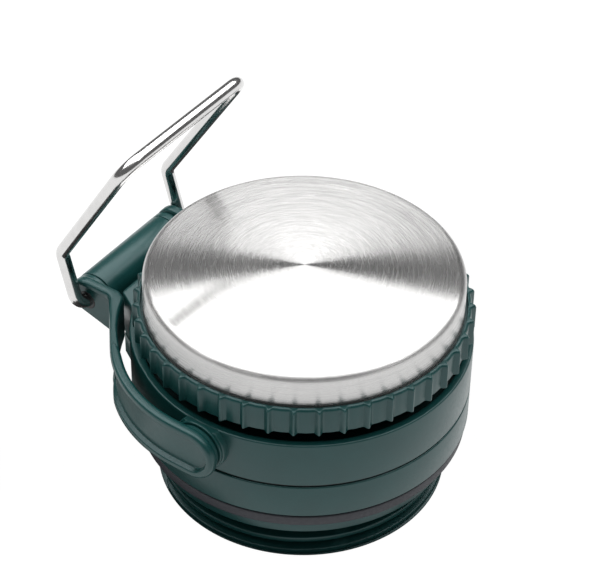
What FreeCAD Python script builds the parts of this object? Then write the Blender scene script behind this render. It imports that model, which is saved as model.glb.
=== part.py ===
import FreeCAD, Part
import Sketcher
import math
import os

Vector = FreeCAD.Vector

# A screw-in stopper for a wide-mouth vacuum bottle: a threaded skirt, a two-band collar, a
# ribbed screw cap with a steel top, a folding carry handle and a steel wire bail.
# Millimetres, Z up. The origin is the centre of the skirt's lower face, the screw axis is Z,
# the handle hinges about Y and lies towards -X when it is folded.

DRIVING = [
    # skirt and its bottle thread
    ("skirt_radius", 42.3), ("skirt_root", 39.9), ("skirt_bore", 37.4), ("skirt_lip", 2.0),
    ("skirt_lead_in", 0.9), ("flange_low", 12.7), ("flange_radius", 44.8), ("skirt_top", 18.2),
    ("thread_pitch", 4.6), ("thread_crest", 1.5), ("thread_base", 2.5), ("thread_first", 1.35),
    ("thread_turns", 1.9), ("thread_angle", -130.0),
    # gasket under the collar
    ("gasket_radius", 47.7), ("gasket_step", 46.3), ("gasket_top", 21.6), ("gasket_bore", 38.6),
    ("gasket_lip", 0.3), ("lip_gap", 0.2),
    # collar: lower band, dark parting ring, upper band with its pivot bosses
    ("collar_radius", 48.3), ("collar_bore", 46.0), ("lower_band_low", 22.3),
    ("parting_low", 33.3), ("parting_high", 34.0), ("parting_radius", 47.7),
    ("collar_top", 48.8), ("edge_break", 0.5), ("boss_radius", 8.1), ("boss_reach", 49.7),
    ("rest_low", 26.0), ("rest_reach", 52.1), ("rest_half", 16.7), ("rest_foot", 21.0),
    ("swell_radius", 46.5), ("swell_shift", 3.5),
    ("deck_low", 43.6), ("deck_high", 45.8),
    # pour neck and the cap's thread on it
    ("neck_bore", 33.6), ("neck_radius", 36.6), ("neck_shoulder", 49.5), ("neck_head", 40.2),
    ("neck_top", 62.0), ("neck_ridge", 41.4), ("neck_thread_low", 53.6), ("neck_pitch", 3.0),
    ("neck_turns", 1.7), ("neck_crest", 0.8), ("neck_base", 1.6),
    # screw cap: grip ring, steel shell, liner, foam, seal and slip ring
    ("ring_low", 52.2), ("ring_high", 60.6), ("ring_radius", 48.2), ("ring_root", 47.0),
    ("ring_shelf", 46.4), ("rib_count", 44), ("rib_half_angle", 1.05), ("ring_round", 0.9),
    ("ring_angle", 2.4),
    ("steel_radius", 45.1), ("steel_wall", 0.7), ("steel_low", 55.0), ("steel_top", 70.3),
    ("steel_corner", 2.5), ("dome_rise", 1.7), ("liner_bore", 41.9), ("liner_roof", 64.6),
    ("liner_top", 66.6), ("liner_foot", 46.2), ("foam_gap", 0.3), ("seal_top", 63.8),
    ("seal_bore", 35.0), ("seal_radius", 40.6),
    # handle, drawn flat about its own pivot and then raised by its tilt
    ("pivot_height", 42.4), ("handle_tilt", 1.0), ("arm_half", 8.0), ("arm_face", 55.0),
    ("arm_wall", 3.1), ("arm_bend", 43.0), ("arm_start", 5.6), ("arm_angle", 51.0),
    ("recess_half", 5.8), ("recess_depth", 1.5), ("bar_reach", 62.0), ("ear_face", 22.4),
    ("ear_wall", 3.2), ("ear_end", 67.6), ("ear_foot", 4.2), ("elbow", 3.6), ("arm_round", 0.8),
    ("swing_radius", 52.6), ("gusset_half", 20.6), ("gusset_back", 50.8),
    ("hub_radius", 7.2), ("hub_reach", 50.8), ("pin_radius", 3.0), ("pin_reach", 53.0),
    ("pin_root", 46.4), ("running_gap", 0.06), ("washer_radius", 7.7), ("washer_thick", 0.8),
    ("bar_radius", 6.5), ("bar_half", 16.8), ("bar_bore", 3.1), ("socket_radius", 3.0),
    # wire bail
    ("wire_radius", 2.0), ("bail_socket", 14.0), ("bail_leg", 24.9), ("bail_knee_out", 4.9),
    ("bail_knee_up", 18.0), ("bail_knee_half", 24.7), ("bail_top_in", 22.0),
    ("bail_top_up", 60.2), ("bail_top_half", 27.2), ("bail_foot_bend", 4.6),
    ("bail_knee_bend", 4.0), ("bail_corner_bend", 6.0), ("stop_radius", 2.85),
    ("stop_thick", 0.8),
]


class Size:
    """A length that carries both its value and the sheet expression behind it."""

    def __init__(self, text, value):
        self.text = text
        self.value = value

    @staticmethod
    def of(other):
        return other if isinstance(other, Size) else Size(repr(other), other)

    def __add__(self, other):
        other = Size.of(other)
        return Size(f"({self.text} + {other.text})", self.value + other.value)

    def __radd__(self, other):
        return Size.of(other) + self

    def __sub__(self, other):
        other = Size.of(other)
        return Size(f"({self.text} - {other.text})", self.value - other.value)

    def __rsub__(self, other):
        return Size.of(other) - self

    def __mul__(self, other):
        other = Size.of(other)
        return Size(f"({self.text} * {other.text})", self.value * other.value)

    __rmul__ = __mul__

    def __truediv__(self, other):
        other = Size.of(other)
        return Size(f"({self.text} / {other.text})", self.value / other.value)

    def __neg__(self):
        return self * -1

    def root(self):
        return Size(f"sqrt({self.text})", math.sqrt(self.value))

    def sine(self):
        return Size(f"sin({self.text})", math.sin(math.radians(self.value)))

    def cosine(self):
        return Size(f"cos({self.text})", math.cos(math.radians(self.value)))

    def tangent(self):
        return Size(f"tan({self.text})", math.tan(math.radians(self.value)))


doc = FreeCAD.newDocument("stopper")
sheet = doc.addObject("Spreadsheet::Sheet", "Sizes")
for row, (alias, number) in enumerate(DRIVING, start=1):
    sheet.set(f"A{row}", alias)
    sheet.set(f"B{row}", str(number))
    sheet.setAlias(f"B{row}", alias)
doc.recompute()


def size(alias):
    return Size(f"Sizes.{alias}", float(sheet.get(alias)))


def bind(thing, name, length):
    """Set a property of an object and tie it to the sheet."""
    length = Size.of(length)
    thing.setExpression(name, length.text)


# ---------------------------------------------------------------- sketching


def new_body(label):
    body = doc.addObject("PartDesign::Body", label)
    body.Label = label
    return body


def new_sketch(body, name, role, offset=None):
    """A sketch on one of the body's own origin planes, moved along its normal by offset."""
    sketch = body.newObject("Sketcher::SketchObject", name)
    plane = [part for part in body.Origin.OriginFeatures if part.Role == role][0]
    sketch.AttachmentSupport = [(plane, "")]
    sketch.MapMode = "FlatFace"
    if offset is not None:
        bind(sketch, "AttachmentOffset.Base.z", offset)
    return sketch


def pin_point(sketch, geometry, corner, point):
    """Fix one end of an edge to a point whose coordinates come from the sheet."""
    for kind, along in (("DistanceX", point[0]), ("DistanceY", point[1])):
        along = Size.of(along)
        number = sketch.addConstraint(
            Sketcher.Constraint(kind, -1, 1, geometry, corner, along.value))
        if "Sizes." in along.text:
            sketch.setExpression(f"Constraints[{number}]", along.text)


def draw_outline(sketch, corners, arcs=None):
    """Draw a closed outline. arcs maps the number of an edge to (centre, radius, turn), where
    turn is 1 for an arc that runs counter-clockwise and -1 for one that runs clockwise."""
    arcs = arcs or {}
    plain = [Vector(Size.of(x).value, Size.of(y).value, 0) for x, y in corners]
    ends = []
    for number, start in enumerate(plain):
        finish = plain[(number + 1) % len(plain)]
        if number not in arcs:
            sketch.addGeometry(Part.LineSegment(start, finish), False)
            ends.append((1, 2))
            continue
        centre, radius, turn = arcs[number]
        middle = Vector(Size.of(centre[0]).value, Size.of(centre[1]).value, 0)
        first, last = (start, finish) if turn > 0 else (finish, start)
        angles = [math.atan2(p.y - middle.y, p.x - middle.x) for p in (first, last)]
        circle = Part.Circle(middle, Vector(0, 0, 1), Size.of(radius).value)
        sketch.addGeometry(Part.ArcOfCircle(circle, angles[0], angles[1]), False)
        ends.append((1, 2) if turn > 0 else (2, 1))
    count = len(plain)
    for number in range(count):
        following = (number + 1) % count
        sketch.addConstraint(Sketcher.Constraint(
            "Coincident", number, ends[number][1], following, ends[following][0]))
    for number, corner in enumerate(corners):
        pin_point(sketch, number, ends[number][0], corner)
    for number, (centre, radius, turn) in arcs.items():
        radius = Size.of(radius)
        made = sketch.addConstraint(Sketcher.Constraint("Radius", number, radius.value))
        if "Sizes." in radius.text:
            sketch.setExpression(f"Constraints[{made}]", radius.text)


def draw_circle(sketch, centre, radius):
    radius = Size.of(radius)
    middle = Vector(Size.of(centre[0]).value, Size.of(centre[1]).value, 0)
    number = sketch.addGeometry(Part.Circle(middle, Vector(0, 0, 1), radius.value), False)
    pin_point(sketch, number, 3, centre)
    made = sketch.addConstraint(Sketcher.Constraint("Radius", number, radius.value))
    sketch.setExpression(f"Constraints[{made}]", radius.text)


def revolve(body, profile, name="Turned"):
    """Turn a closed profile of (radius, height) corners about the body's Z axis."""
    sketch = new_sketch(body, name + "Profile", "XZ_Plane")
    draw_outline(sketch, profile)
    turned = body.newObject("PartDesign::Revolution", name)
    turned.Profile = sketch
    turned.ReferenceAxis = (sketch, ["V_Axis"])
    turned.Angle = 360
    doc.recompute()
    return turned


def pad(body, sketch, name, length, both_sides=False, reverse=False, cut=False):
    """Extrude a sketch, or cut with it, by a length from the sheet."""
    made = body.newObject("PartDesign::Pocket" if cut else "PartDesign::Pad", name)
    made.Profile = sketch
    made.SideType = "Symmetric" if both_sides else "One side"
    made.Reversed = reverse
    bind(made, "Length", length)
    before = body.Shape.Volume if cut else 0
    doc.recompute()
    if made.Shape.isNull():
        raise RuntimeError(f"{body.Label}: {name} has no shape")
    if cut and made.Shape.Volume > before - 1e-3:
        raise RuntimeError(f"{body.Label}: {name} cuts nothing")
    return made


def add_thread(body, start, radius, crest_radius, base, crest, pitch, turns):
    """A helical ridge whose trapezoid section starts at height start on the +X side."""
    sketch = new_sketch(body, "ThreadSection", "XZ_Plane")
    sunk = 0.4
    draw_outline(sketch, [
        (radius - sunk, start - base / 2), (radius, start - base / 2),
        (crest_radius, start - crest / 2), (crest_radius, start + crest / 2),
        (radius, start + base / 2), (radius - sunk, start + base / 2)])
    ridge = body.newObject("PartDesign::AdditiveHelix", "Thread")
    ridge.Profile = sketch
    ridge.ReferenceAxis = (sketch, ["V_Axis"])
    ridge.Mode = "pitch-turns-angle"
    bind(ridge, "Pitch", pitch)
    bind(ridge, "Turns", turns)
    ridge.Angle = 0
    ridge.LeftHanded = False
    doc.recompute()
    return ridge


def round_edges(body, feature, radius, height):
    """Round every edge of the body that lies flat at plus or minus this height."""
    names = []
    for number, edge in enumerate(feature.Shape.Edges, start=1):
        box = edge.BoundBox
        if box.ZLength < 1e-4 and abs(abs(box.Center.z) - height.value) < 1e-4:
            names.append(f"Edge{number}")
    made = body.newObject("PartDesign::Fillet", "Rounding")
    made.Base = (feature, names)
    bind(made, "Radius", radius)
    doc.recompute()
    return made


def group(label, shapes, place=None):
    """Several loose, equal solids that share one node."""
    feature = doc.addObject("Part::Feature", label)
    feature.Label = label
    feature.Shape = Part.makeCompound(shapes)
    if place is not None:
        feature.Placement = place
    return feature


# ---------------------------------------------------------------- fixed pieces


def threaded_skirt():
    """The plug's outer shell: a bore with a bottom lip, the bottle thread and a flange."""
    body = new_body("threaded_skirt")
    low, lead = 0.0, size("skirt_lead_in")
    root, flange, top = size("skirt_root"), size("flange_low"), size("skirt_top")
    lip, bore = size("skirt_lip"), size("skirt_bore")
    revolve(body, [
        (size("neck_bore"), low), (size("skirt_radius") - 0.9, low),
        (size("skirt_radius"), lead * 0.6), (size("skirt_radius"), lead), (root, lead + 1),
        (root, flange - 0.6), (size("flange_radius"), flange), (size("flange_radius"), top),
        (bore, top), (bore, lip), (size("neck_bore"), lip)])
    add_thread(body, size("thread_first"), root, size("skirt_radius"), size("thread_base"),
               size("thread_crest"), size("thread_pitch"), size("thread_turns"))
    bind(body, "Placement.Rotation.Angle", size("thread_angle"))
    return body


def skirt_gasket():
    """The ring that seals on the bottle's rim: its outer lip hangs beside the flange."""
    body = new_body("skirt_gasket")
    seat_low, top, outer = size("skirt_top"), size("gasket_top"), size("gasket_radius")
    step, seat, bore = size("gasket_step"), size("lower_band_low"), size("gasket_bore")
    low, lip = size("skirt_top") - size("gasket_lip"), size("flange_radius") + size("lip_gap")
    revolve(body, [
        (bore, seat_low), (lip, seat_low), (lip, low), (outer - 0.6, low), (outer, low + 0.6),
        (outer, top - 0.6),
        (outer - 0.6, top), (step, top), (step, seat), (bore, seat)])
    return body


def add_rest(body, low, top):
    """The collar's swelling at the back and, on it, the flat-faced rest between the folded
    handle's ears. The swelling is round about an axis shift behind the screw axis."""
    reach, half, foot = size("rest_reach"), size("rest_half"), size("rest_foot")
    swell, shift = size("swell_radius"), size("swell_shift")
    root = size("collar_radius") - 1.2
    foot_back = shift + (swell * swell - foot * foot).root()
    tip_back = (root * root - swell * swell + shift * shift) / (shift * 2)
    tip = (root * root - tip_back * tip_back).root()
    sketch = new_sketch(body, "HandleRestSketch", "XY_Plane", low)
    draw_outline(sketch, [
        (-tip_back, tip), (-foot_back, foot), (-reach, half), (-reach, -half),
        (-foot_back, -foot), (-tip_back, -tip)],
        {0: ((-shift, 0.0), swell, 1), 4: ((-shift, 0.0), swell, 1), 5: ((0.0, 0.0), root, -1)})
    pad(body, sketch, "HandleRest", top - low)


def lower_band():
    body = new_body("lower_band")
    low, top, outer = size("lower_band_low"), size("parting_low"), size("collar_radius")
    edge, bore = size("edge_break"), size("collar_bore")
    revolve(body, [
        (size("gasket_bore"), low), (outer - edge, low), (outer, low + edge),
        (outer, top - edge), (outer - edge, top), (bore, top), (bore, low + 3),
        (size("gasket_bore"), low + 3)])
    add_rest(body, size("rest_low"), top)
    return body


def parting_ring():
    body = new_body("parting_ring")
    low, top = size("parting_low"), size("parting_high")
    outer, bore = size("parting_radius"), size("collar_bore")
    revolve(body, [(bore, low), (outer, low), (outer, top), (bore, top)])
    return body


def upper_band():
    """The upper collar band. A round boss on each side, cut off level with the band's top,
    carries a handle pivot."""
    body = new_body("upper_band")
    low, top, outer = size("parting_high"), size("collar_top"), size("collar_radius")
    edge, bore = size("edge_break"), size("collar_bore")
    revolve(body, [
        (bore, low), (outer - edge, low), (outer, low + edge), (outer, top - edge),
        (outer - edge, top), (bore + edge, top), (bore, top - edge)])
    for side, name in ((-1, "NearBoss"), (1, "FarBoss")):
        # a sketch on XZ_Plane faces -Y, so its offset along -Y is positive
        root = size("collar_radius") - 1.6
        sketch = new_sketch(body, name + "Sketch", "XZ_Plane", root * -side)
        radius, height = size("boss_radius"), size("pivot_height")
        rise = top - height
        chord = (radius * radius - rise * rise).root()
        draw_outline(sketch, [(-chord, top), (0.0, height - radius), (chord, top)],
                     {0: ((0.0, height), radius, 1), 1: ((0.0, height), radius, 1)})
        pad(body, sketch, name, size("boss_reach") - root, reverse=side > 0)
    add_rest(body, low, top)
    return body


def collar_deck():
    """The flat ring that ties the pour neck to the collar, below the cap."""
    body = new_body("collar_deck")
    low, top = size("deck_low"), size("deck_high")
    revolve(body, [
        (size("neck_radius"), low), (size("collar_bore"), low), (size("collar_bore"), top),
        (size("neck_radius"), top)])
    return body


def pour_neck():
    """The open neck, with the ridge that the cap screws onto."""
    body = new_body("pour_neck")
    bore, outer, head = size("neck_bore"), size("neck_radius"), size("neck_head")
    low, shoulder, top = size("skirt_lip"), size("neck_shoulder"), size("neck_top")
    edge = size("edge_break")
    revolve(body, [
        (bore, low), (outer, low), (outer, shoulder - 3), (head, shoulder), (head, top - edge),
        (head - edge, top), (bore + edge, top), (bore, top - edge)])
    add_thread(body, size("neck_thread_low"), head, size("neck_ridge"), size("neck_base"),
               size("neck_crest"), size("neck_pitch"), size("neck_turns"))
    return body


def foam_core():
    """Insulation between the neck and the collar."""
    body = new_body("foam_core")
    gap = size("foam_gap")
    low, top = size("lower_band_low") + 3 + gap, size("deck_low") - gap
    inner, outer = size("neck_radius") + gap, size("collar_bore") - gap
    revolve(body, [(inner, low), (outer, low), (outer, top), (inner, top)])
    return body


def cylinder_along_y(radius, start, finish, side, height, bore=None):
    """A round bar, or a ring when it has a bore, about a line parallel to Y."""
    base = Vector(0, side * start, height)
    way = Vector(0, side, 0)
    solid = Part.makeCylinder(radius, finish - start, base, way)
    if bore is not None:
        solid = solid.cut(Part.makeCylinder(bore, finish - start, base, way))
    return solid


def pivot_pins():
    """Two headed pins that hold the handle's arms to the collar's bosses."""
    radius, root = size("pin_radius").value, size("pin_root").value
    pins = []
    for side in (-1, 1):
        shank = cylinder_along_y(radius, root, size("pin_reach").value, side,
                                 size("pivot_height").value)
        pins.append(shank)
    return group("pivot_pins", pins)


def pivot_washers():
    """Thin rings that keep the arms off the bosses."""
    start = size("boss_reach").value
    return group("pivot_washers", [
        cylinder_along_y(size("washer_radius").value, start, start + size("washer_thick").value,
                         side, size("pivot_height").value, size("pin_radius").value)
        for side in (-1, 1)])


# ---------------------------------------------------------------- screw cap


def cap_seal():
    """The silicone ring that closes on the neck's lip."""
    body = new_body("cap_seal")
    low, top = size("neck_top") + 0.05, size("seal_top")
    inner, outer = size("seal_bore"), size("seal_radius")
    revolve(body, [
        (inner, low), (outer - 0.4, low), (outer, low + 0.4), (outer, top), (inner, top)])
    return body


def cap_slip_ring():
    """The thin ring that the cap turns on, above its seal."""
    body = new_body("cap_slip_ring")
    low, top = size("seal_top"), size("liner_roof") - 0.1
    inner, outer = size("seal_bore") + 0.5, size("seal_radius") - 0.5
    revolve(body, [(inner, low), (outer, low), (outer, top), (inner, top)])
    return body


def grip_ring():
    """The ribbed ring that the hand turns: shallow hollows leave a rib between each pair."""
    body = new_body("grip_ring")
    low, top, outer = size("ring_low"), size("ring_high"), size("ring_radius")
    bore, shelf, soft = size("steel_radius"), size("ring_shelf"), size("ring_round")
    revolve(body, [
        (bore, low + 2), (size("liner_foot"), low + 2), (size("liner_foot"), low), (outer - 0.3, low),
        (outer, low + 0.3), (outer, top - soft), (outer - soft * 0.3, top - soft * 0.3),
        (outer - soft, top), (shelf, top), (bore, top - 0.8)])
    pitch_angle = 360 / size("rib_count").value
    half = math.radians(pitch_angle / 2 - size("rib_half_angle").value)
    sketch = new_sketch(body, "HollowSketch", "XY_Plane", low - 1)
    rim, root = size("ring_radius") + 1, size("ring_root")
    reach = math.cos(half)
    spread = math.sin(half)
    draw_outline(sketch, [
        (root * reach * 1.0035, root * -spread * 0.88), (rim * reach, rim * -spread),
        (rim * reach, rim * spread), (root * reach * 1.0035, root * spread * 0.88)])
    hollow = pad(body, sketch, "Hollow", top - low + 2, reverse=True, cut=True)
    pattern = body.newObject("PartDesign::PolarPattern", "Hollows")
    pattern.Originals = [hollow]
    pattern.Axis = (sketch, ["N_Axis"])
    pattern.Angle = 360
    bind(pattern, "Occurrences", size("rib_count"))
    body.Tip = pattern
    bind(body, "Placement.Rotation.Angle", size("ring_angle"))
    doc.recompute()
    return body


def steel_shell():
    """The spun steel top: a slightly domed disc with a rounded corner and a straight wall."""
    body = new_body("steel_shell")
    outer, wall, corner = size("steel_radius"), size("steel_wall"), size("steel_corner")
    low, top, rise = size("steel_low"), size("steel_top"), size("dome_rise")
    flat = outer - corner
    dome = (flat * flat + rise * rise) / (rise * 2)
    sketch = new_sketch(body, "ShellProfile", "XZ_Plane")
    draw_outline(
        sketch,
        [(outer - wall, low), (outer, low), (outer, top - corner), (flat, top),
         (0.0, top + rise), (0.0, top + rise - wall), (flat, top - wall),
         (outer - wall, top - corner)],
        {2: ((flat, top - corner), corner, 1),
         3: ((0.0, top + rise - dome), dome, 1),
         5: ((0.0, top + rise - wall - dome), dome, -1),
         6: ((flat, top - corner), corner - wall, -1)})
    turned = body.newObject("PartDesign::Revolution", "Shell")
    turned.Profile = sketch
    turned.ReferenceAxis = (sketch, ["V_Axis"])
    turned.Angle = 360
    doc.recompute()
    return body


def cap_liner():
    """The plastic cup inside the steel shell, with a foot that closes the ring's underside."""
    body = new_body("cap_liner")
    bore, outer = size("liner_bore"), size("steel_radius") - size("steel_wall")
    low, roof, top = size("ring_low"), size("liner_roof"), size("liner_top")
    foot = size("liner_foot")
    revolve(body, [
        (0.0, roof), (bore, roof), (bore, low), (foot, low), (foot, low + 2), (outer, low + 2),
        (outer, top), (0.0, top)])
    return body


def cap_foam():
    """Insulation between the liner and the steel top."""
    body = new_body("cap_foam")
    gap = size("foam_gap")
    low, top = size("liner_top") + gap, size("steel_top") - size("steel_wall") - gap
    outer = size("steel_radius") - size("steel_corner")
    revolve(body, [(0.0, low), (outer, low), (outer, top), (0.0, top)])
    return body


# ---------------------------------------------------------------- handle


def handle_place():
    """Where the flat-drawn handle goes: its pivot on the collar, raised by its tilt."""
    turn = FreeCAD.Rotation(Vector(0, 1, 0), size("handle_tilt").value)
    return FreeCAD.Placement(Vector(0, 0, size("pivot_height").value), turn)


def place_handle_body(body):
    body.Placement = handle_place()
    bind(body, "Placement.Base.z", size("pivot_height"))
    bind(body, "Placement.Rotation.Angle", size("handle_tilt"))


def on_near_side(corners, arcs):
    """The same outline on the -Y side, from one drawn on the +Y side."""
    corners = [(x, -y) for x, y in corners]
    arcs = {edge: ((c[0], -c[1]), r, -turn) for edge, (c, r, turn) in arcs.items()}
    return corners, arcs


def arm_corner():
    """Where the lines of the arm's diagonal outer face and of the ear's outer face cross."""
    angle, bend = size("arm_angle"), size("arm_bend")
    drop = size("arm_face") - bend * (1 - angle.cosine()) - size("ear_face")
    return size("arm_start") + bend * angle.sine() + drop / angle.tangent()


def arm_meets_swing():
    """Where the arm's inner bend crosses the circle that clears the cap during the swing."""
    over, up = size("arm_start"), size("arm_face") - size("arm_bend")
    inner, swing = size("arm_bend") - size("arm_wall"), size("swing_radius")
    apart = over * over + up * up
    along = (swing * swing - inner * inner + apart) / (apart * 2)
    across = (swing * swing / apart - along * along).root()
    return -(over * along + up * across), up * along - over * across


def arm_outline():
    """The arm seen from above, about the pivot: straight beside the collar, one wide bend, a
    diagonal run and an ear at the grip. Inside, the wall follows the circle that clears the cap
    and ends in a pointed gusset. Returns corners and arcs for draw_outline."""
    face, wall, bend = size("arm_face"), size("arm_wall"), size("arm_bend")
    start, angle, elbow = size("arm_start"), size("arm_angle"), size("elbow")
    ear, back = size("ear_face"), size("ear_end")
    tail = size("arm_half")
    reach = elbow * (angle / 2).tangent()
    corner = arm_corner()
    ear_in = ear - size("ear_wall")
    swing, tip = size("swing_radius"), size("gusset_half")
    corners = [
        (tail, face), (-start, face),
        (-(start + bend * angle.sine()), face - bend * (1 - angle.cosine())),
        (-(corner - reach * angle.cosine()), ear + reach * angle.sine()),
        (-(corner + reach), ear), (-back, ear), (-back, ear_in), (-size("gusset_back"), ear_in),
        (-(swing * swing - tip * tip).root(), tip), arm_meets_swing(), (-start, face - wall),
        (tail, face - wall)]
    arcs = {
        1: ((-start, face - bend), bend, 1),
        3: ((-(corner + reach), ear + elbow), elbow, -1),
        8: ((0.0, 0.0), swing, -1),
        9: ((-start, face - bend), bend - wall, -1)}
    return on_near_side(corners, arcs)


def recess_outline():
    """The strip that the panel recess takes out of the arm's outer face, seen from above."""
    face, bend, deep = size("arm_face"), size("arm_bend"), size("recess_depth")
    start, angle, ear = size("arm_start"), size("arm_angle"), size("ear_face")
    half_tangent = (angle / 2).tangent()
    inner = bend - deep
    clear = 2.0
    outer = bend + clear
    corner = arm_corner()
    far = size("ear_end") + clear
    corners = [
        (0.0, face + clear), (-start, face + clear),
        (-(start + outer * angle.sine()), face - bend + outer * angle.cosine()),
        (-(corner + clear * half_tangent), ear + clear), (-far, ear + clear), (-far, ear - deep),
        (-(corner - deep * half_tangent), ear - deep),
        (-(start + inner * angle.sine()), face - bend + inner * angle.cosine()),
        (-start, face - deep), (0.0, face - deep)]
    arcs = {
        1: ((-start, face - bend), outer, 1),
        7: ((-start, face - bend), inner, -1)}
    return on_near_side(corners, arcs)


def handle_arm_near():
    """One moulded arm, from its pivot hub round the collar to its ear at the grip."""
    body = new_body("handle_arm_near")
    half = size("arm_half")
    sketch = new_sketch(body, "ArmOutline", "XY_Plane")
    corners, arcs = arm_outline()
    draw_outline(sketch, corners, arcs)
    arm = pad(body, sketch, "Arm", half * 2, both_sides=True)
    round_edges(body, arm, size("arm_round"), half)

    # round the pivot end
    end = new_sketch(body, "PivotEnd", "XZ_Plane")
    beyond = half + 2
    draw_outline(end, [(0.0, half), (0.0, beyond), (beyond, beyond), (beyond, -beyond),
                       (0.0, -beyond), (0.0, -half), (half, 0.0)],
                 {5: ((0.0, 0.0), half, 1), 6: ((0.0, 0.0), half, 1)})
    pad(body, end, "RoundPivotEnd", size("arm_face") * 2 + 4, both_sides=True, cut=True)

    # shape the ear: a slanted foot and a rounded back
    ear = new_sketch(body, "EarSide", "XZ_Plane")
    bar, back = size("bar_reach"), size("ear_end")
    foot = size("ear_foot")
    draw_outline(ear, [
        (-(bar - 11), -half), (-(bar + 2.4), -foot), (-back, 0.6), (-(bar + 2.8), half - 1.2),
        (-(bar - 0.6), half), (-(bar - 0.6), beyond), (-(back + 2), beyond),
        (-(back + 2), -beyond), (-(bar - 11), -beyond)])
    pad(body, ear, "EarShape", size("arm_face") * 2, both_sides=True, cut=True)

    # panel recess along the outer face, round at the pivot
    strip = new_sketch(body, "RecessStrip", "XY_Plane")
    corners, arcs = recess_outline()
    draw_outline(strip, corners, arcs)
    pad(body, strip, "Recess", size("recess_half") * 2, both_sides=True, cut=True)
    face, deep = size("arm_face"), size("recess_depth")
    disc = new_sketch(body, "RecessEnd", "XZ_Plane", face - deep)
    draw_circle(disc, (0.0, 0.0), size("recess_half"))
    pad(body, disc, "RecessRound", deep + 1, reverse=True, cut=True)

    # pivot hub on the inner face, with a blind bore for the pin
    inner = face - size("arm_wall")
    hub = new_sketch(body, "HubSketch", "XZ_Plane", inner + 0.2)
    draw_circle(hub, (0.0, 0.0), size("hub_radius"))
    pad(body, hub, "Hub", inner + 0.2 - size("hub_reach"), reverse=True)
    bore = new_sketch(body, "PinBore", "XZ_Plane", size("hub_reach"))
    draw_circle(bore, (0.0, 0.0), size("pin_radius") + size("running_gap"))
    pad(body, bore, "Bore", size("pin_reach") + 0.15 - size("hub_reach"), reverse=True, cut=True)

    # boss that takes the grip, and the bushing's hole through the ear
    ear_in = size("ear_face") - size("ear_wall")
    boss = new_sketch(body, "GripBoss", "XZ_Plane", ear_in + 0.2)
    draw_circle(boss, (-bar, 0.0), size("bar_radius") - 0.1)
    pad(body, boss, "Boss", ear_in + 0.2 - size("bar_half"), reverse=True)
    hole = new_sketch(body, "BushHole", "XZ_Plane", size("ear_face") + 1)
    draw_circle(hole, (-bar, 0.0), size("socket_radius"))
    pad(body, hole, "Hole", size("ear_face") + 2 - size("bar_half"), cut=True)
    place_handle_body(body)
    return body


def handle_arm_far(near):
    """The same arm on the other side, mirrored through the XZ plane."""
    arm = doc.addObject("Part::Mirroring", "handle_arm_far")
    arm.Label = "handle_arm_far"
    arm.Source = near
    arm.Base = Vector(0, 0, 0)
    arm.Normal = Vector(0, 1, 0)
    doc.recompute()
    return arm


def grip_bar():
    """The round grip between the two ears, bored through."""
    body = new_body("grip_bar")
    sketch = new_sketch(body, "GripRound", "XZ_Plane")
    centre = (-size("bar_reach"), 0.0)
    draw_circle(sketch, centre, size("bar_radius"))
    draw_circle(sketch, centre, size("bar_bore"))
    pad(body, sketch, "Grip", (size("bar_half") - 0.05) * 2, both_sides=True)
    place_handle_body(body)
    return body


def ear_bushings():
    """Two plastic bushings that the bail's feet turn in."""
    outer, bore = size("socket_radius").value, size("wire_radius").value
    bore += size("running_gap").value
    start, finish = size("bar_half").value, size("ear_face").value - size("recess_depth").value
    rings = [cylinder_along_y(outer, start, finish, side, 0, bore) for side in (-1, 1)]
    for ring in rings:
        ring.translate(Vector(-size("bar_reach").value, 0, 0))
    return group("ear_bushings", rings, handle_place())


# ---------------------------------------------------------------- wire bail


def bail_place():
    """The bail's own frame: its origin on the grip's axis, square to the room."""
    centre = handle_place().multVec(Vector(-size("bar_reach").value, 0, 0))
    return FreeCAD.Placement(centre, FreeCAD.Rotation())


def rounded_path(points, bends):
    """Straight runs joined by tangent arcs, one bend radius for each inner point."""
    edges = []
    start = points[0]
    for number, bend in enumerate(bends, start=1):
        before, corner, after = points[number - 1:number + 2]
        back = (before - corner).normalize()
        on = (after - corner).normalize()
        half = back.getAngle(on) / 2
        setback = bend / math.tan(half)
        first, last = corner + back * setback, corner + on * setback
        middle = (back + on).normalize()
        crown = corner + middle * (bend / math.sin(half) - bend)
        edges.append(Part.LineSegment(start, first).toShape())
        edges.append(Part.Arc(first, crown, last).toShape())
        start = last
    edges.append(Part.LineSegment(start, points[-1]).toShape())
    return Part.Wire(edges)


def wire_bail():
    """One length of bright wire: two feet in the ears, two bent legs and a cross bar."""
    leg, knee, top = size("bail_leg").value, size("bail_knee_half").value, size("bail_top_half").value
    half = [
        Vector(0, -size("bail_socket").value, 0),
        Vector(0, -leg, 0),
        Vector(-size("bail_knee_out").value, -knee, size("bail_knee_up").value),
        Vector(size("bail_top_in").value, -top, size("bail_top_up").value)]
    points = half + [Vector(p.x, -p.y, p.z) for p in reversed(half)]
    bends = [size(name).value for name in ("bail_foot_bend", "bail_knee_bend", "bail_corner_bend")]
    path = rounded_path(points, bends + bends[::-1])
    circle = Part.Circle(points[0], Vector(0, 1, 0), size("wire_radius").value)
    profile = Part.Wire([circle.toShape()])
    feature = doc.addObject("Part::Feature", "wire_bail")
    feature.Label = "wire_bail"
    feature.Shape = path.makePipeShell([profile], True, False)
    feature.Placement = bail_place()
    return feature


def bail_stops():
    """Two push-on rings that keep the bail's feet inside the grip."""
    start = size("bail_socket").value + 0.4
    return group("bail_stops", [
        cylinder_along_y(size("stop_radius").value, start, start + size("stop_thick").value,
                         side, 0, size("wire_radius").value)
        for side in (-1, 1)], bail_place())


# ---------------------------------------------------------------- build and write


def check_document():
    for item in doc.Objects:
        if "Invalid" in item.State or "Error" in item.State:
            raise RuntimeError(f"{item.Label} failed: {item.State}")


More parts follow.
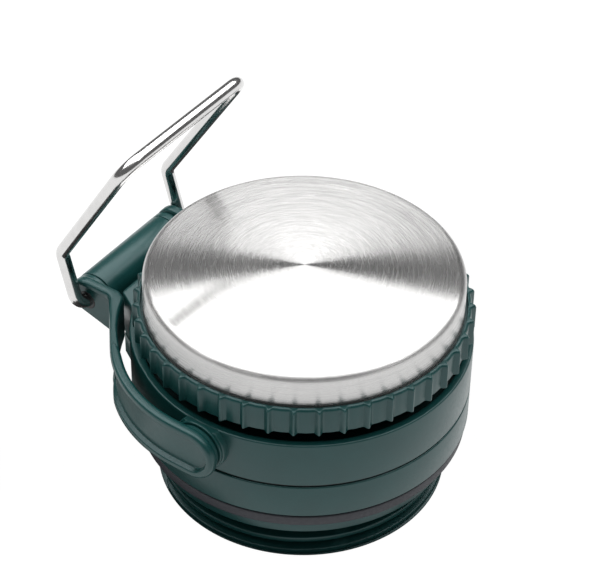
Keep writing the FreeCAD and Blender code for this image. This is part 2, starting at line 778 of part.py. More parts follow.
def write_parts(parts):
    os.makedirs("parts", exist_ok=True)
    for part in parts:
        shape = part.Shape
        if shape.isNull() or not shape.isValid():
            raise RuntimeError(f"{part.Label} has no valid shape")
        shape.exportStep(f"parts/{part.Label}.step")
        print(f"{part.Label:18s} solids {len(shape.Solids)}  volume {shape.Volume:10.1f}")


def main():
    near_arm = handle_arm_near()
    parts = [
        threaded_skirt(), skirt_gasket(), lower_band(), parting_ring(), upper_band(),
        collar_deck(), pour_neck(), foam_core(), pivot_pins(), pivot_washers(),
        cap_seal(), cap_slip_ring(), grip_ring(), steel_shell(), cap_liner(), cap_foam(),
        near_arm, handle_arm_far(near_arm), grip_bar(), ear_bushings(), wire_bail(),
        bail_stops()]
    doc.recompute()
    check_document()
    write_parts(parts)


main()
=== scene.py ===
import bpy
import bmesh
import math
from mathutils import Matrix, Vector


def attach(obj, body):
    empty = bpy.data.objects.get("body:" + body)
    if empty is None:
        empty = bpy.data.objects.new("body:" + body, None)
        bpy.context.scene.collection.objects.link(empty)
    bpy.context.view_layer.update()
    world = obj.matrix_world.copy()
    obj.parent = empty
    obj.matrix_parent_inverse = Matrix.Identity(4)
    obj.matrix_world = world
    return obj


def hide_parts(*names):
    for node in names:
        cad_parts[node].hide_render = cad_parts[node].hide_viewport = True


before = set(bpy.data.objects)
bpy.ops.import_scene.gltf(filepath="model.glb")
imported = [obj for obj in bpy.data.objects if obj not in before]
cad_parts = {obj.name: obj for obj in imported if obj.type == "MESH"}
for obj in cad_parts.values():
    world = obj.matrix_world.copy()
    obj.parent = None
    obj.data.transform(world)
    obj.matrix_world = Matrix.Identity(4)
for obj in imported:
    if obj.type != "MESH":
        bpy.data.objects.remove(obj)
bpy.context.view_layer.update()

# Every size below is in millimetres, in the frame of the CAD model: Z up along the screw axis,
# the handle's pivot axis along Y, the folded handle towards -X.
MM = 0.001
PIVOT_HEIGHT = 42.4
HANDLE_TILT = math.radians(1.0)
BAR_REACH = 62.0
COLLAR_RADIUS, COLLAR_TOP = 48.3, 48.8
SWELL_RADIUS, SWELL_SHIFT = 46.5, 3.5


# ---------------------------------------------------------------- materials


class Shader:
    """A new material and short calls for the nodes that feed its Principled shader."""

    def __init__(self, name, **sockets):
        self.material = bpy.data.materials.new(name)
        self.material.use_nodes = True
        self.tree = self.material.node_tree
        self.main = self.tree.nodes["Principled BSDF"]
        for socket, value in sockets.items():
            self.main.inputs[socket.replace("_", " ")].default_value = value
        self.place = self.add("ShaderNodeTexCoord").outputs["Object"]

    def add(self, kind, **settings):
        node = self.tree.nodes.new(kind)
        for name, value in settings.items():
            setattr(node, name, value)
        return node

    def link(self, start, end):
        self.tree.links.new(start, end)

    def to_main(self, start, socket):
        self.link(start, self.main.inputs[socket])

    def math(self, operation, first, second=None):
        node = self.add("ShaderNodeMath", operation=operation)
        for slot, value in enumerate((first, second)):
            if value is None:
                continue
            if isinstance(value, (int, float)):
                node.inputs[slot].default_value = value
            else:
                self.link(value, node.inputs[slot])
        return node.outputs[0]

    def noise(self, scale, detail=3.0, where=None, roughness=0.5):
        node = self.add("ShaderNodeTexNoise")
        node.inputs["Scale"].default_value = scale
        node.inputs["Detail"].default_value = detail
        node.inputs["Roughness"].default_value = roughness
        self.link(self.place if where is None else where, node.inputs["Vector"])
        return node.outputs["Fac"]

    def spread(self, source, low, high):
        """Noise lies mostly between 0.3 and 0.7: stretch that to low..high."""
        node = self.add("ShaderNodeMapRange")
        node.inputs["From Min"].default_value = 0.3
        node.inputs["From Max"].default_value = 0.7
        node.inputs["To Min"].default_value = low
        node.inputs["To Max"].default_value = high
        self.link(source, node.inputs["Value"])
        return node.outputs["Result"]

    def mix(self, share, first, second):
        node = self.add("ShaderNodeMix", data_type="RGBA")
        for slot, value in ((0, share), (6, first), (7, second)):
            if isinstance(value, tuple):
                node.inputs[slot].default_value = (*value, 1.0)
            elif isinstance(value, float):
                node.inputs[slot].default_value = value
            else:
                self.link(value, node.inputs[slot])
        return node.outputs[2]

    def bump(self, heights):
        """Chain (height, strength, distance in metres) into the shader's normal."""
        last = None
        for height, strength, distance in heights:
            node = self.add("ShaderNodeBump")
            node.inputs["Strength"].default_value = strength
            node.inputs["Distance"].default_value = distance
            self.link(height, node.inputs["Height"])
            if last is not None:
                self.link(last, node.inputs["Normal"])
            last = node.outputs["Normal"]
        self.to_main(last, "Normal")


def scaled(colour, factor):
    return tuple(channel * factor for channel in colour)


def moulded(name, colour, rough_low, rough_high, grain=1.0, wear=0.0, **sockets):
    """Satin moulded plastic: spark-eroded grain, faint flow mottling and paler rubbed edges."""
    shader = Shader(name, **sockets)
    grain_noise = shader.noise(3800.0, 2.0)
    cloud = shader.noise(120.0, 3.0)
    tint = shader.mix(shader.spread(cloud, 0.0, 1.0), scaled(colour, 0.93), scaled(colour, 1.07))
    if wear > 0:
        edge = shader.add("ShaderNodeNewGeometry").outputs["Pointiness"]
        rub = shader.math("SUBTRACT", edge, 0.53)
        rub = shader.math("MULTIPLY", rub, 6.0)
        rub = shader.math("MULTIPLY", rub, shader.spread(shader.noise(420.0, 4.0), 0.3, 1.0))
        rub = shader.math("MINIMUM", shader.math("MAXIMUM", rub, 0.0), wear)
        pale = tuple(channel * 1.6 + 0.03 for channel in colour)
        tint = shader.mix(rub, tint, pale)
    shader.to_main(tint, "Base Color")
    shader.to_main(shader.spread(shader.noise(900.0, 4.0), rough_low, rough_high), "Roughness")
    shader.bump([(grain_noise, 0.35 * grain, 0.00003), (cloud, 0.2, 0.00006)])
    return shader.material


def spun_steel(name, colour, roughness, anisotropy):
    """Steel brushed in circles about Z: fine grooves that run round the axis."""
    shader = Shader(name, Metallic=1.0, Anisotropic=anisotropy, Anisotropic_Rotation=0.25)
    tangent = shader.add("ShaderNodeTangent", direction_type="RADIAL", axis="Z")
    shader.to_main(tangent.outputs["Tangent"], "Tangent")
    parts = shader.add("ShaderNodeSeparateXYZ")
    shader.link(shader.place, parts.inputs[0])
    x, y, z = parts.outputs
    radius = shader.math("SQRT", shader.math(
        "ADD", shader.math("MULTIPLY", x, x), shader.math("MULTIPLY", y, y)))
    across = shader.math("SUBTRACT", radius, z)
    safe = shader.math("MAXIMUM", radius, 0.0005)

    def lines(per_metre, round_share):
        where = shader.add("ShaderNodeCombineXYZ")
        shader.link(shader.math("MULTIPLY", across, per_metre), where.inputs[0])
        for slot, side in ((1, x), (2, y)):
            turn = shader.math("DIVIDE", side, safe)
            shader.link(shader.math("MULTIPLY", turn, round_share), where.inputs[slot])
        return shader.noise(1.0, 3.0, where.outputs[0], 0.65)

    fine, coarse = lines(5200.0, 5.0), lines(1900.0, 2.0)
    both = shader.math("ADD", shader.math("MULTIPLY", fine, 0.6),
                       shader.math("MULTIPLY", coarse, 0.4))
    shade = shader.spread(both, 0.0, 1.0)
    shader.to_main(shader.mix(shade, scaled(colour, 0.82), scaled(colour, 1.12)), "Base Color")
    shader.to_main(shader.spread(both, roughness * 0.85, roughness * 1.2), "Roughness")
    shader.bump([(fine, 0.045, 0.00001), (coarse, 0.012, 0.00002)])
    return shader.material


def polished_steel(name, colour, low, high):
    """Drawn and polished wire: nearly mirror-bright, with faint draw lines and smears."""
    shader = Shader(name, Metallic=1.0)
    smear = shader.noise(260.0, 4.0)
    shader.to_main(shader.mix(shader.spread(smear, 0.0, 1.0), scaled(colour, 0.94),
                              scaled(colour, 1.04)), "Base Color")
    shader.to_main(shader.spread(shader.noise(700.0, 5.0), low, high), "Roughness")
    return shader.material


def foam_material(name, colour):
    shader = Shader(name, Roughness=0.9)
    cells = shader.add("ShaderNodeTexVoronoi")
    cells.inputs["Scale"].default_value = 1500.0
    shader.link(shader.place, cells.inputs["Vector"])
    size = cells.outputs["Distance"]
    shader.to_main(shader.mix(size, scaled(colour, 0.85), colour), "Base Color")
    shader.bump([(size, 0.6, 0.0003)])
    return shader.material


GREEN = (0.005, 0.044, 0.042)
SHEEN = (0.8, 0.96, 1.0, 1.0)
green = moulded("green_plastic", GREEN, 0.28, 0.36, grain=0.5, wear=0.35, Specular_Tint=SHEEN)
# A darker copy of the same green for the inner parts: painted shade for the dark gaps between the
# parts, not a different plastic.
green_painted_shade = moulded("green_plastic_painted_shade", scaled(GREEN, 0.4), 0.42, 0.52)
gasket = moulded("gasket_silicone", (0.019, 0.021, 0.029), 0.5, 0.62, grain=0.6)
clear = moulded("clear_silicone", (0.62, 0.63, 0.6), 0.4, 0.5, grain=0.5,
                Subsurface_Weight=0.25, Subsurface_Scale=0.002)
black = moulded("black_plastic", (0.008, 0.009, 0.010), 0.38, 0.5)
foam = foam_material("foam", (0.78, 0.76, 0.68))
steel = spun_steel("brushed_steel", (0.62, 0.615, 0.61), 0.25, 1.0)
wire = polished_steel("steel_wire", (0.66, 0.655, 0.65), 0.12, 0.2)
pin_steel = polished_steel("steel_pin", (0.5, 0.5, 0.5), 0.25, 0.4)


# ---------------------------------------------------------------- mesh building


def make_object(name, points, faces, material, body, replaced, slot, sharp=35.0):
    """A closed mesh from points in millimetres, smooth except across sharp edges."""
    mesh = bpy.data.meshes.new(name)
    mesh.from_pydata([(x * MM, y * MM, z * MM) for x, y, z in points], [], faces)
    work = bmesh.new()
    work.from_mesh(mesh)
    bmesh.ops.remove_doubles(work, verts=work.verts, dist=0.002 * MM)
    bmesh.ops.dissolve_degenerate(work, edges=work.edges, dist=0.001 * MM)
    bmesh.ops.recalc_face_normals(work, faces=work.faces)
    for face in work.faces:
        face.smooth = True
    work.to_mesh(mesh)
    work.free()
    mesh.set_sharp_from_angle(angle=math.radians(sharp))
    made = bpy.data.objects.new(name, mesh)
    bpy.context.scene.collection.objects.link(made)
    mesh.materials.append(material)
    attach(made, body)
    for node in replaced:
        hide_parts(node)
    return made


def rounded(corners, steps=5):
    """A closed outline with its corners rounded. Each corner is (across, up, radius)."""
    points = []
    count = len(corners)
    for number, (x, y, radius) in enumerate(corners):
        here = Vector((x, y))
        before = Vector(corners[number - 1][:2]) - here
        after = Vector(corners[(number + 1) % count][:2]) - here
        if radius <= 0:
            points.append((x, y))
            continue
        half = before.angle(after) / 2
        reach = min(radius / math.tan(half), before.length * 0.48, after.length * 0.48)
        radius = reach * math.tan(half)
        way = (before.normalized() + after.normalized()).normalized()
        centre = here + way * (radius / math.sin(half))
        first = here + before.normalized() * reach - centre
        last = here + after.normalized() * reach - centre
        sweep = first.angle_signed(last)
        for step in range(steps + 1):
            turn = Matrix.Rotation(-sweep * step / steps, 2)
            points.append(tuple(centre + turn @ first))
    return points


def lathe(profile, segments=192, closed=True, shape=None):
    """Turn a profile of (radius, height) about Z. An open profile starts and ends on the axis.
    shape(radius, height, angle) may move a point. Returns points and faces."""
    points, rings, faces = [], [], []
    for radius, height in profile:
        if radius < 1e-6:
            rings.append([len(points)] * segments)
            points.append((0.0, 0.0, height))
            continue
        rings.append(list(range(len(points), len(points) + segments)))
        for step in range(segments):
            angle = 2 * math.pi * step / segments
            r, z = shape(radius, height, angle) if shape else (radius, height)
            points.append((r * math.cos(angle), r * math.sin(angle), z))
    last = len(profile) if closed else len(profile) - 1
    for number in range(last):
        first, second = rings[number], rings[(number + 1) % len(profile)]
        for step in range(segments):
            following = (step + 1) % segments
            face = [first[step], first[following], second[following], second[step]]
            face = list(dict.fromkeys(face))
            if len(face) > 2:
                faces.append(face)
    return points, faces


def about_y(points, side, centre):
    """Turn lathed points so that Z becomes side * Y, about centre = (x, z)."""
    return [(centre[0] + x, side * z, centre[1] + y) for x, y, z in points]


def tilted(points):
    """From the flat-drawn handle, about its pivot, to its place on the collar."""
    cos, sin = math.cos(HANDLE_TILT), math.sin(HANDLE_TILT)
    return [(x * cos + z * sin, y, PIVOT_HEIGHT - x * sin + z * cos) for x, y, z in points]


def swept(rings, caps=True):
    """Join equal closed rings of points with quads, and close both ends."""
    count = len(rings[0])
    points = [point for ring in rings for point in ring]
    faces = []
    for row in range(len(rings) - 1):
        for step in range(count):
            following = (step + 1) % count
            low, high = row * count, (row + 1) * count
            faces.append([low + step, low + following, high + following, high + step])
    if caps:
        faces.append(list(range(count))[::-1])
        faces.append([len(points) - count + step for step in range(count)])
    return points, faces


def slab(outline, levels):
    """Stack an outline at several heights. Each level is (height, how far it is drawn in)."""
    count = len(outline)
    rings = []
    for height, inset in levels:
        ring = []
        for number, point in enumerate(outline):
            way = Vector(outline[(number + 1) % count]) - Vector(outline[number - 1])
            way.normalize()
            ring.append((point[0] - way.y * inset, point[1] + way.x * inset, height))
        rings.append(ring)
    return swept(rings)


def joined(*meshes):
    points, faces = [], []
    for more_points, more_faces in meshes:
        shift = len(points)
        points.extend(more_points)
        faces.extend([[corner + shift for corner in face] for face in more_faces])
    return points, faces


# ---------------------------------------------------------------- stopper body


THREAD_ROOT, THREAD_CREST = 39.9, 42.3


def thread_ridge():
    """The right-hand helical ridge on the skirt, run out to nothing at both ends."""
    turns, pitch, first, start = 1.9, 4.6, 1.35, -130.0
    section = rounded([
        (THREAD_ROOT - 0.4, -1.25, 0), (THREAD_ROOT, -1.25, 0.25), (THREAD_CREST, -0.75, 0.3),
        (THREAD_CREST, 0.75, 0.3), (THREAD_ROOT, 1.25, 0.25), (THREAD_ROOT - 0.4, 1.25, 0)], 3)
    rings = []
    steps = 300
    for step in range(steps + 1):
        travel = turns * 360 * step / steps
        run_out = min(1.0, travel / 9.0, (turns * 360 - travel) / 9.0)
        angle = math.radians(start + travel)
        height = first + pitch * travel / 360
        ring = []
        for radius, up in section:
            if radius > THREAD_ROOT:
                radius = THREAD_ROOT - 0.05 + (radius - THREAD_ROOT + 0.05) * run_out ** 0.5
            ring.append((radius * math.cos(angle), radius * math.sin(angle), height + up))
        rings.append(ring)
    return swept(rings)


def swollen(radius, height, angle):
    """The collar swells at the back, where it is round about an axis behind the screw axis.
    Only points of the outer wall move."""
    side = SWELL_SHIFT * math.sin(angle)
    far = math.sqrt(SWELL_RADIUS ** 2 - side * side) - SWELL_SHIFT * math.cos(angle)
    if radius > COLLAR_RADIUS - 1.3:
        radius += max(0.0, far - COLLAR_RADIUS)
    return radius, height


def build_stopper():
    skirt = rounded([
        (33.6, 0, 0.4), (41.4, 0, 0.3), (42.3, 0.6, 0.3), (42.3, 1.0, 0.2),
        (THREAD_ROOT, 1.9, 0.3), (THREAD_ROOT, 12.1, 0.5), (44.8, 12.7, 0.35),
        (44.8, 18.2, 0.2), (37.4, 18.2, 0), (37.4, 2.0, 0), (33.6, 2.0, 0)])
    points, faces = joined(lathe(skirt), thread_ridge())
    make_object("threaded_skirt_shell", points, faces, green, "stopper", ["threaded_skirt"],
                "green_plastic")
    ring = rounded([
        (38.6, 18.2, 0), (45.0, 18.2, 0), (45.0, 17.9, 0.1), (47.7, 17.9, 0.8),
        (47.7, 21.6, 0.7), (46.3, 21.6, 0.2), (46.3, 22.3, 0), (38.6, 22.3, 0)])
    make_object("gasket_ring", *lathe(ring), gasket, "stopper", ["skirt_gasket"],
                "gasket_silicone")
    lower = rounded([
        (38.6, 22.3, 0), (COLLAR_RADIUS, 22.3, 0.45), (COLLAR_RADIUS, 33.3, 0.5), (46.0, 33.3, 0),
        (46.0, 25.3, 0), (38.6, 25.3, 0)])
    make_object("collar_lower_band", *lathe(lower, shape=swollen), green, "stopper",
                ["lower_band"], "green_plastic")
    upper = rounded([
        (46.0, 34.0, 0), (COLLAR_RADIUS, 34.0, 0.35), (COLLAR_RADIUS, COLLAR_TOP, 0.55),
        (46.0, COLLAR_TOP, 0.45)])
    make_object("collar_upper_band", *lathe(upper, shape=swollen), green, "stopper",
                ["upper_band"], "green_plastic")
    rest = rounded([
        (-43.6, 20.0, 0), (-44.6, 21.4, 0), (-52.1, 16.7, 1.6), (-52.1, -16.7, 1.6),
        (-44.6, -21.4, 0), (-43.6, -20.0, 0), (-46.8, -8.5, 0), (-47.2, 0, 0),
        (-46.8, 8.5, 0)], 8)
    for band, low, high in (("upper", 34.0, COLLAR_TOP), ("lower", 26.0, 33.3)):
        levels = [(low, 0.4), (low + 0.12, 0.15), (low + 0.4, 0.0), (high - 0.55, 0.0),
                  (high - 0.35, 0.08), (high - 0.15, 0.25), (high - 0.02, 0.5)]
        make_object(f"handle_rest_{band}", *slab(rest, levels), green, "stopper",
                    [f"{band}_band"], "green_plastic")
    boss = rounded([(0.01, 46.8, 0), (8.1, 46.8, 0), (8.1, 49.7, 0.45), (0.01, 49.7, 0)])
    washer = rounded([(3.0, 49.7, 0), (7.7, 49.7, 0.1), (7.7, 50.5, 0.3), (3.0, 50.5, 0)])
    for side, name in ((-1, "near"), (1, "far")):
        points, faces = lathe(boss, 96)
        points = about_y(points, side, (0, PIVOT_HEIGHT))
        points = [(x, y, min(z, COLLAR_TOP - 0.05)) for x, y, z in points]
        make_object(f"pivot_boss_{name}", points, faces, green, "stopper", ["upper_band"],
                    "green_plastic")
        points, faces = lathe(washer, 96)
        make_object(f"pivot_washer_{name}", about_y(points, side, (0, PIVOT_HEIGHT)), faces,
                    green, "stopper", ["pivot_washers"], "green_plastic")


# ---------------------------------------------------------------- screw cap


RIBS = 44
RIB_ANGLE = math.radians(2.4) + math.pi / RIBS
RING_TIP, RING_ROOT, RING_SHELF = 48.2, 47.0, 45.85


def ribbed(radius, height, angle):
    """Narrow round ribs with wide shallow hollows between them."""
    pitch = 2 * math.pi / RIBS
    off = (angle - RIB_ANGLE + pitch / 2) % pitch - pitch / 2
    near = min(1.0, abs(math.degrees(off)) / 1.6)
    tip = 0.5 * (1 + math.cos(math.pi * near))
    hollow = 0.1 * (1 - (2 * off / pitch) ** 2)
    share = min(1.0, max(0.0, (radius - RING_SHELF) / (RING_TIP - 0.7 - RING_SHELF)))
    return radius - share * (RING_TIP - RING_ROOT + hollow) * (1 - tip), height


def build_cap():
    ring = rounded([
        (45.15, 54.2, 0), (46.2, 54.2, 0), (46.2, 52.2, 0.1), (RING_TIP, 52.2, 0.35),
        (RING_TIP, 60.6, 1.0), (45.85, 60.6, 0.25), (45.85, 58.6, 0), (45.15, 58.6, 0)], 7)
    make_object("ribbed_grip_ring", *lathe(ring, RIBS * 18, shape=ribbed), green, "cap",
                ["grip_ring"], "green_plastic")
    outer, corner, top, rise, wall, low = 45.1, 2.4, 70.3, 1.7, 0.7, 55.0
    flat = outer - corner
    dome = (flat * flat + rise * rise) / (2 * rise)

    def dome_line(sphere):
        return [(flat * step / 28, top + rise - dome + math.sqrt(
            sphere * sphere - (flat * step / 28) ** 2)) for step in range(29)]

    def corner_line(radius):
        return [(flat + radius * math.sin(math.radians(turn)),
                 top - corner + radius * math.cos(math.radians(turn)))
                for turn in range(9, 91, 9)]

    shell = dome_line(dome) + corner_line(corner) + [(outer, 57.5), (outer, low)]
    inside = dome_line(dome - wall) + corner_line(corner - wall) + [(outer - wall, low)]
    profile = shell + inside[::-1]
    make_object("steel_top", *lathe(profile, 256, closed=False), steel, "cap",
                ["steel_shell"], "brushed_steel", 50.0)


# ---------------------------------------------------------------- handle


ARM_HALF, ARM_FACE, ARM_WALL, ARM_BEND = 8.0, 55.0, 3.1, 43.0
ARM_START, ARM_ANGLE = 5.6, math.radians(51)
RECESS_HALF, RECESS_DEPTH = 5.8, 1.5
EAR_FACE, EAR_WALL, EAR_END = 22.4, 3.2, 67.6
ELBOW, SWING = 3.6, 52.6


def arm_half_section():
    """Upper half of the arm's section as (inwards from the outer face, up), from the middle of
    the recess floor over the rim to the middle of the inner face."""
    corners = [
        (RECESS_DEPTH, 0, 0), (RECESS_DEPTH, 5.2, 0.3), (0, RECESS_HALF, 0.5),
        (0, ARM_HALF, 1.25), (ARM_WALL, ARM_HALF, 1.1),
        (ARM_WALL, 0, 0)]
    return rounded(corners, 5)


def along(route, share):
    """The point at this share of a route's length."""
    spans = [(Vector(b) - Vector(a)).length for a, b in zip(route, route[1:])]
    left = share * sum(spans)
    for number, span in enumerate(spans):
        if left <= span or number == len(spans) - 1:
            return tuple(Vector(route[number]).lerp(Vector(route[number + 1]), min(1, left / span)))
        left -= span


def arm_stations():
    """Stations along the arm, seen from above, as (outer point, inner point, share of the lower
    rim that is gone)."""
    sine, cosine = math.sin(ARM_ANGLE), math.cos(ARM_ANGLE)
    centre = Vector((-ARM_START, ARM_FACE - ARM_BEND))
    inner_bend = ARM_BEND - ARM_WALL
    stations = [((0.0, ARM_FACE), (0.0, ARM_FACE - ARM_WALL), 0.0)]
    for step in range(25):
        turn = ARM_ANGLE * step / 24
        way = Vector((-math.sin(turn), math.cos(turn)))
        gone = max(0.0, (step - 19) / 10)
        inner = centre + way * inner_bend
        if -inner.x > 30 and inner.length < SWING:
            inner = inner * (SWING / inner.length)
        stations.append((tuple(centre + way * ARM_BEND), tuple(inner), gone))
    end, inner_end = stations[-1][:2]
    corner = -end[0] + (end[1] - EAR_FACE) * cosine / sine
    reach = ELBOW * math.tan(ARM_ANGLE / 2)
    bend_start = (-(corner - reach * cosine), EAR_FACE + reach * sine)
    ear_in = EAR_FACE - EAR_WALL
    sweep = [math.radians(angle) for angle in range(132, 156, 3)]
    clear = [(SWING * math.cos(angle), SWING * math.sin(angle), 0) for angle in sweep]
    inside = rounded([inner_end + (0,)] + clear + [
        (-48.4, 20.6, 0.9), (-50.8, ear_in, 1.6), (-(corner + reach), ear_in, 0)], 6)
    tip = min(range(len(inside)), key=lambda n: math.dist(inside[n], (-48.4, 20.6)))
    for step in range(1, 21):
        gone = min(1.0, 0.5 + step / 12)
        stations.append((along([end, bend_start], step / 20), along(inside[:tip + 1], step / 20),
                         gone))
    elbow_centre = Vector((-(corner + reach), EAR_FACE + ELBOW))
    for step in range(1, 13):
        turn = ARM_ANGLE * (1 - step / 12)
        way = Vector((math.sin(turn), -math.cos(turn)))
        stations.append((tuple(elbow_centre + way * ELBOW), along(inside[tip:], step / 12), 1.0))
    first = corner + reach
    for step in range(1, 25):
        x = first + (EAR_END - first) * math.sin(math.pi / 2 * step / 24)
        stations.append(((-x, EAR_FACE), (-x, ear_in), 1.0))
    return stations


def ear_limits(x):
    """Lowest and highest point of the ear's side outline at this x."""
    low, high = -ARM_HALF, ARM_HALF
    if x < -51.0:
        low = -8.0 + (-51.0 - x) * 3.8 / 13.4
    if x < -64.4:
        low = 0.6 - 4.8 * math.sqrt(max(0.0, 1 - ((-64.4 - x) / 3.2) ** 2))
    if x < -61.4:
        high = 0.6 + 7.4 * math.sqrt(max(0.0, 1 - ((-61.4 - x) / 6.2) ** 2))
    return low, high


def arm_mesh(side):
    half = arm_half_section()
    loop = half + [(inwards, -up) for inwards, up in half[-2:0:-1]]
    rings = []
    for outer, inner, ear in arm_stations():
        low, high = ear_limits(outer[0])
        middle = (low + high) / 2
        ring = []
        for inwards, up in loop:
            if up < -4.9 and ear > 0:
                floor = max(inwards, RECESS_DEPTH)
                inwards += (floor - inwards) * ear
            if up >= 0:
                z = high - (ARM_HALF - up) * min(1.0, (high - middle) / ARM_HALF)
            else:
                z = low + (up + ARM_HALF) * min(1.0, (middle - low) / ARM_HALF)
            across = (Vector(inner) - Vector(outer)).normalized()
            if inwards <= 1.6:
                x, y = Vector(outer) + across * inwards
            else:
                x, y = Vector(inner) - across * (ARM_WALL - inwards)
            ring.append((x, side * y, z))
        rings.append(ring)
    points, faces = swept(rings, caps=False)
    count = len(loop)
    faces.append([len(points) - count + step for step in range(count)])
    turns = 28
    end_rings = []
    for step in range(turns + 1):
        angle = math.pi * step / turns
        end_rings.append([(up * math.sin(angle), side * (ARM_FACE - inwards), up * math.cos(angle))
                          for inwards, up in half])
    end_points = [point for ring in end_rings for point in ring]
    end_faces = []
    wide = len(half)
    for row in range(turns):
        for step in range(wide - 1):
            low, high = row * wide + step, (row + 1) * wide + step
            end_faces.append([low, low + 1, high + 1, high])
    return joined((points, faces), (end_points, end_faces))


def build_handle():
    hub = rounded([(0.01, 50.8, 0), (7.2, 50.8, 0.3), (7.2, 52.2, 0), (0.01, 52.2, 0)])
    boss = rounded([(3.0, 16.85, 0), (6.45, 16.85, 0.35), (6.45, 19.6, 0), (3.0, 19.6, 0)])
    for side, name in ((-1, "near"), (1, "far")):
        node = f"handle_arm_{name}"
        points, faces = arm_mesh(side)
        make_object(f"{node}_moulding", tilted(points), faces, green, "handle", [node],
                    "green_plastic")
        points, faces = lathe(hub, 80)
        make_object(f"pivot_hub_{name}", tilted(about_y(points, side, (0, 0))), faces, green,
                    "handle", [node], "green_plastic")
        points, faces = lathe(boss, 96)
        make_object(f"grip_boss_{name}", tilted(about_y(points, side, (-BAR_REACH, 0))), faces,
                    green, "handle", [node], "green_plastic")
    grip = rounded([(3.1, -16.7, 0), (6.5, -16.7, 0.4), (6.5, 16.7, 0.4), (3.1, 16.7, 0)])
    points, faces = lathe(grip, 128)
    make_object("round_grip", tilted(about_y(points, 1, (-BAR_REACH, 0))), faces, green,
                "handle", ["grip_bar"], "green_plastic")
    sleeve = rounded([(2.06, 16.8, 0), (2.98, 16.8, 0), (2.98, 21.0, 0.15), (2.06, 21.0, 0.2)])
    for side, name in ((-1, "near"), (1, "far")):
        points, faces = lathe(sleeve, 64)
        make_object(f"bail_bushing_{name}", tilted(about_y(points, side, (-BAR_REACH, 0))),
                    faces, black, "handle", ["ear_bushings"], "black_plastic")


# ---------------------------------------------------------------- wire bail


def rounded_route(points, bends, steps=12):
    """Points along straight runs joined by tangent arcs."""
    route = [points[0]]
    for number, bend in enumerate(bends, start=1):
        before, corner, after = points[number - 1:number + 2]
        back, on = (before - corner).normalized(), (after - corner).normalized()
        half = back.angle(on) / 2
        middle = (back + on).normalized()
        centre = corner + middle * (bend / math.sin(half))
        first = corner + back * (bend / math.tan(half)) - centre
        last = corner + on * (bend / math.tan(half)) - centre
        axis = first.cross(last).normalized()
        sweep = first.angle(last)
        for step in range(steps + 1):
            route.append(centre + Matrix.Rotation(sweep * step / steps, 3, axis) @ first)
    route.append(points[-1])
    return route


def build_bail():
    half = [Vector((0, -14.0, 0)), Vector((0, -24.9, 0)), Vector((-4.9, -24.7, 18.0)),
            Vector((22.0, -27.2, 60.2))]
    points = half + [Vector((p.x, -p.y, p.z)) for p in reversed(half)]
    bends = [4.6, 4.0, 6.0]
    route = rounded_route(points, bends + bends[::-1])
    centre = Vector(tilted([(-BAR_REACH, 0, 0)])[0])
    radius, sides = 2.0, 48
    rings = []
    across = Vector((1, 0, 0))
    for number, point in enumerate(route):
        before, after = route[max(number - 1, 0)], route[min(number + 1, len(route) - 1)]
        way = (after - before).normalized()
        across = (across - way * across.dot(way)).normalized()
        up = way.cross(across)
        rings.append([tuple(centre + point + across * (radius * math.cos(turn))
                            + up * (radius * math.sin(turn)))
                      for turn in (2 * math.pi * step / sides for step in range(sides))])
    points, faces = swept(rings)
    make_object("bail_wire", points, faces, wire, "bail", ["wire_bail"], "steel_wire")


build_stopper()
build_cap()
build_handle()
build_bail()

# The deck, the pour neck and the cap liner take the darker green, which is painted shade in the
# crevices.
KEPT = {
    "parting_ring": black, "collar_deck": green_painted_shade, "pour_neck": green_painted_shade,
    "foam_core": foam, "pivot_pins": pin_steel, "cap_seal": clear, "cap_slip_ring": black,
    "cap_liner": green_painted_shade, "cap_foam": foam, "bail_stops": pin_steel}
for node, material in KEPT.items():
    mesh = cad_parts[node].data
    mesh.materials.clear()
    mesh.materials.append(material)


# ---------------------------------------------------------------- studio


BACK = Vector((-0.5556, 0.8315, 0))
RIGHT = Vector((0.8315, 0.5556, 0))


def add_floor():
    mesh = bpy.data.meshes.new("floor")
    half = 3.0
    mesh.from_pydata([(-half, -half, 0), (half, -half, 0), (half, half, 0), (-half, half, 0)],
                     [], [(0, 1, 2, 3)])
    shader = Shader("floor_paper", Roughness=0.9, Emission_Strength=1.0)
    shader.main.inputs["Emission Color"].default_value = (1, 1, 1, 1)
    shader.to_main(shader.mix(shader.noise(3.0, 2.0), (0.05, 0.05, 0.05), (0.06, 0.06, 0.06)),
                   "Base Color")
    mesh.materials.append(shader.material)
    made = bpy.data.objects.new("floor", mesh)
    bpy.context.scene.collection.objects.link(made)


def add_shadow_card():
    """A dark card close under the object, seen only in reflections: it does the work of the
    contact shadow, which the bright floor would wash out."""
    mesh = bpy.data.meshes.new("shadow_card")
    ground = [(-42, -52), (-18, -51), (0, -50), (20, -49), (40, -36), (52, -10), (60, 40),
              (60, 115), (-40, 115), (-60, 60), (-90, 42), (-90, -17)]
    outline = [RIGHT * across + BACK * along for across, along in ground]
    mesh.from_pydata([(p.x * MM, p.y * MM, 0.4 * MM) for p in outline], [],
                     [tuple(range(len(outline)))])
    shader = Shader("shadow_cloth", Roughness=1.0, Base_Color=(0.03, 0.03, 0.03, 1))
    mesh.materials.append(shader.material)
    made = bpy.data.objects.new("shadow_card", mesh)
    made.visible_camera = False
    bpy.context.scene.collection.objects.link(made)


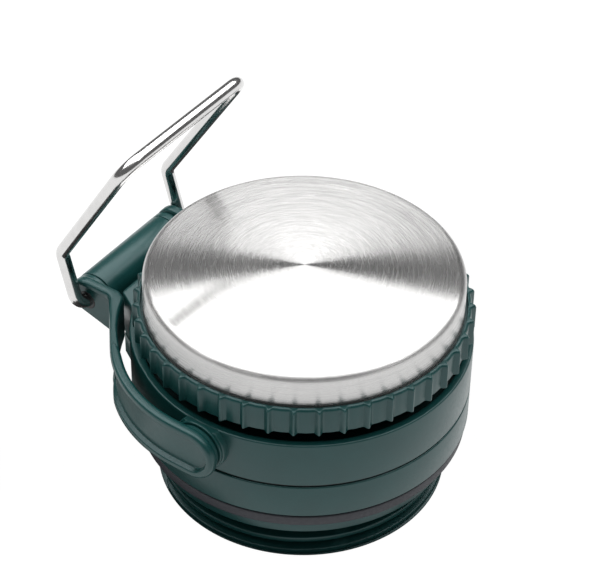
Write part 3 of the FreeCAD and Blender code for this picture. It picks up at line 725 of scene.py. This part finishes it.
def add_softbox(name, centre, across, up, wide, deep, radiance):
    """A rectangular soft light with its long sides along across and up. It shines against the
    cross product of the two. Its power follows from its radiance."""
    light = bpy.data.lights.new(name, "AREA")
    light.shape = "RECTANGLE"
    light.size, light.size_y = wide, deep
    light.energy = radiance * math.pi * wide * deep
    made = bpy.data.objects.new(name, light)
    turn = Matrix((across, up, across.cross(up))).transposed()
    made.matrix_world = Matrix.Translation(centre) @ turn.to_4x4()
    made.visible_camera = False
    bpy.context.scene.collection.objects.link(made)


def add_world():
    """A dim room: nearly dark up to the softbox's edge, grey above it."""
    world = bpy.data.worlds.new("studio")
    world.use_nodes = True
    tree = world.node_tree
    place = tree.nodes.new("ShaderNodeTexCoord")
    parts = tree.nodes.new("ShaderNodeSeparateXYZ")
    tree.links.new(place.outputs["Generated"], parts.inputs[0])
    ramp = tree.nodes.new("ShaderNodeValToRGB")
    tree.links.new(parts.outputs["Z"], ramp.inputs["Fac"])
    elements = ramp.color_ramp.elements
    elements[0].position, elements[0].color = 0.65, (0.14, 0.14, 0.14, 1)
    elements[1].position, elements[1].color = 0.9, (0.4, 0.4, 0.4, 1)
    tree.links.new(ramp.outputs["Color"], tree.nodes["Background"].inputs["Color"])
    bpy.context.scene.world = world


def add_camera():
    """The camera's own axes (right, up, back) and place were solved from the object's outline,
    its circles and the ends of the handle."""
    right = Vector((0.82479625, 0.56524984, 0.01427463))
    up = Vector((-0.36849986, 0.51821379, 0.77179163))
    back = right.cross(up)
    data = bpy.data.cameras.new("camera")
    data.sensor_width = 36.0
    data.lens = 127.847
    data.clip_start, data.clip_end = 0.01, 20.0
    made = bpy.data.objects.new("camera", data)
    turn = Matrix((right, up, back)).transposed()
    place = Vector((0.2534058, -0.3814685, 0.4425324))
    made.matrix_world = Matrix.Translation(place) @ turn.to_4x4()
    bpy.context.scene.collection.objects.link(made)
    bpy.context.scene.camera = made


add_floor()
add_shadow_card()
add_world()
add_softbox("overhead", BACK * 0.25 + Vector((0, 0, 1.2)), RIGHT, BACK, 2.6, 1.4, 2.9)
add_softbox("back_strip", BACK * 1.09 + Vector((0, 0, 1.2)), RIGHT, BACK, 2.6, 0.28, 4.4)
add_camera()
bpy.context.scene.view_settings.view_transform = "Standard"
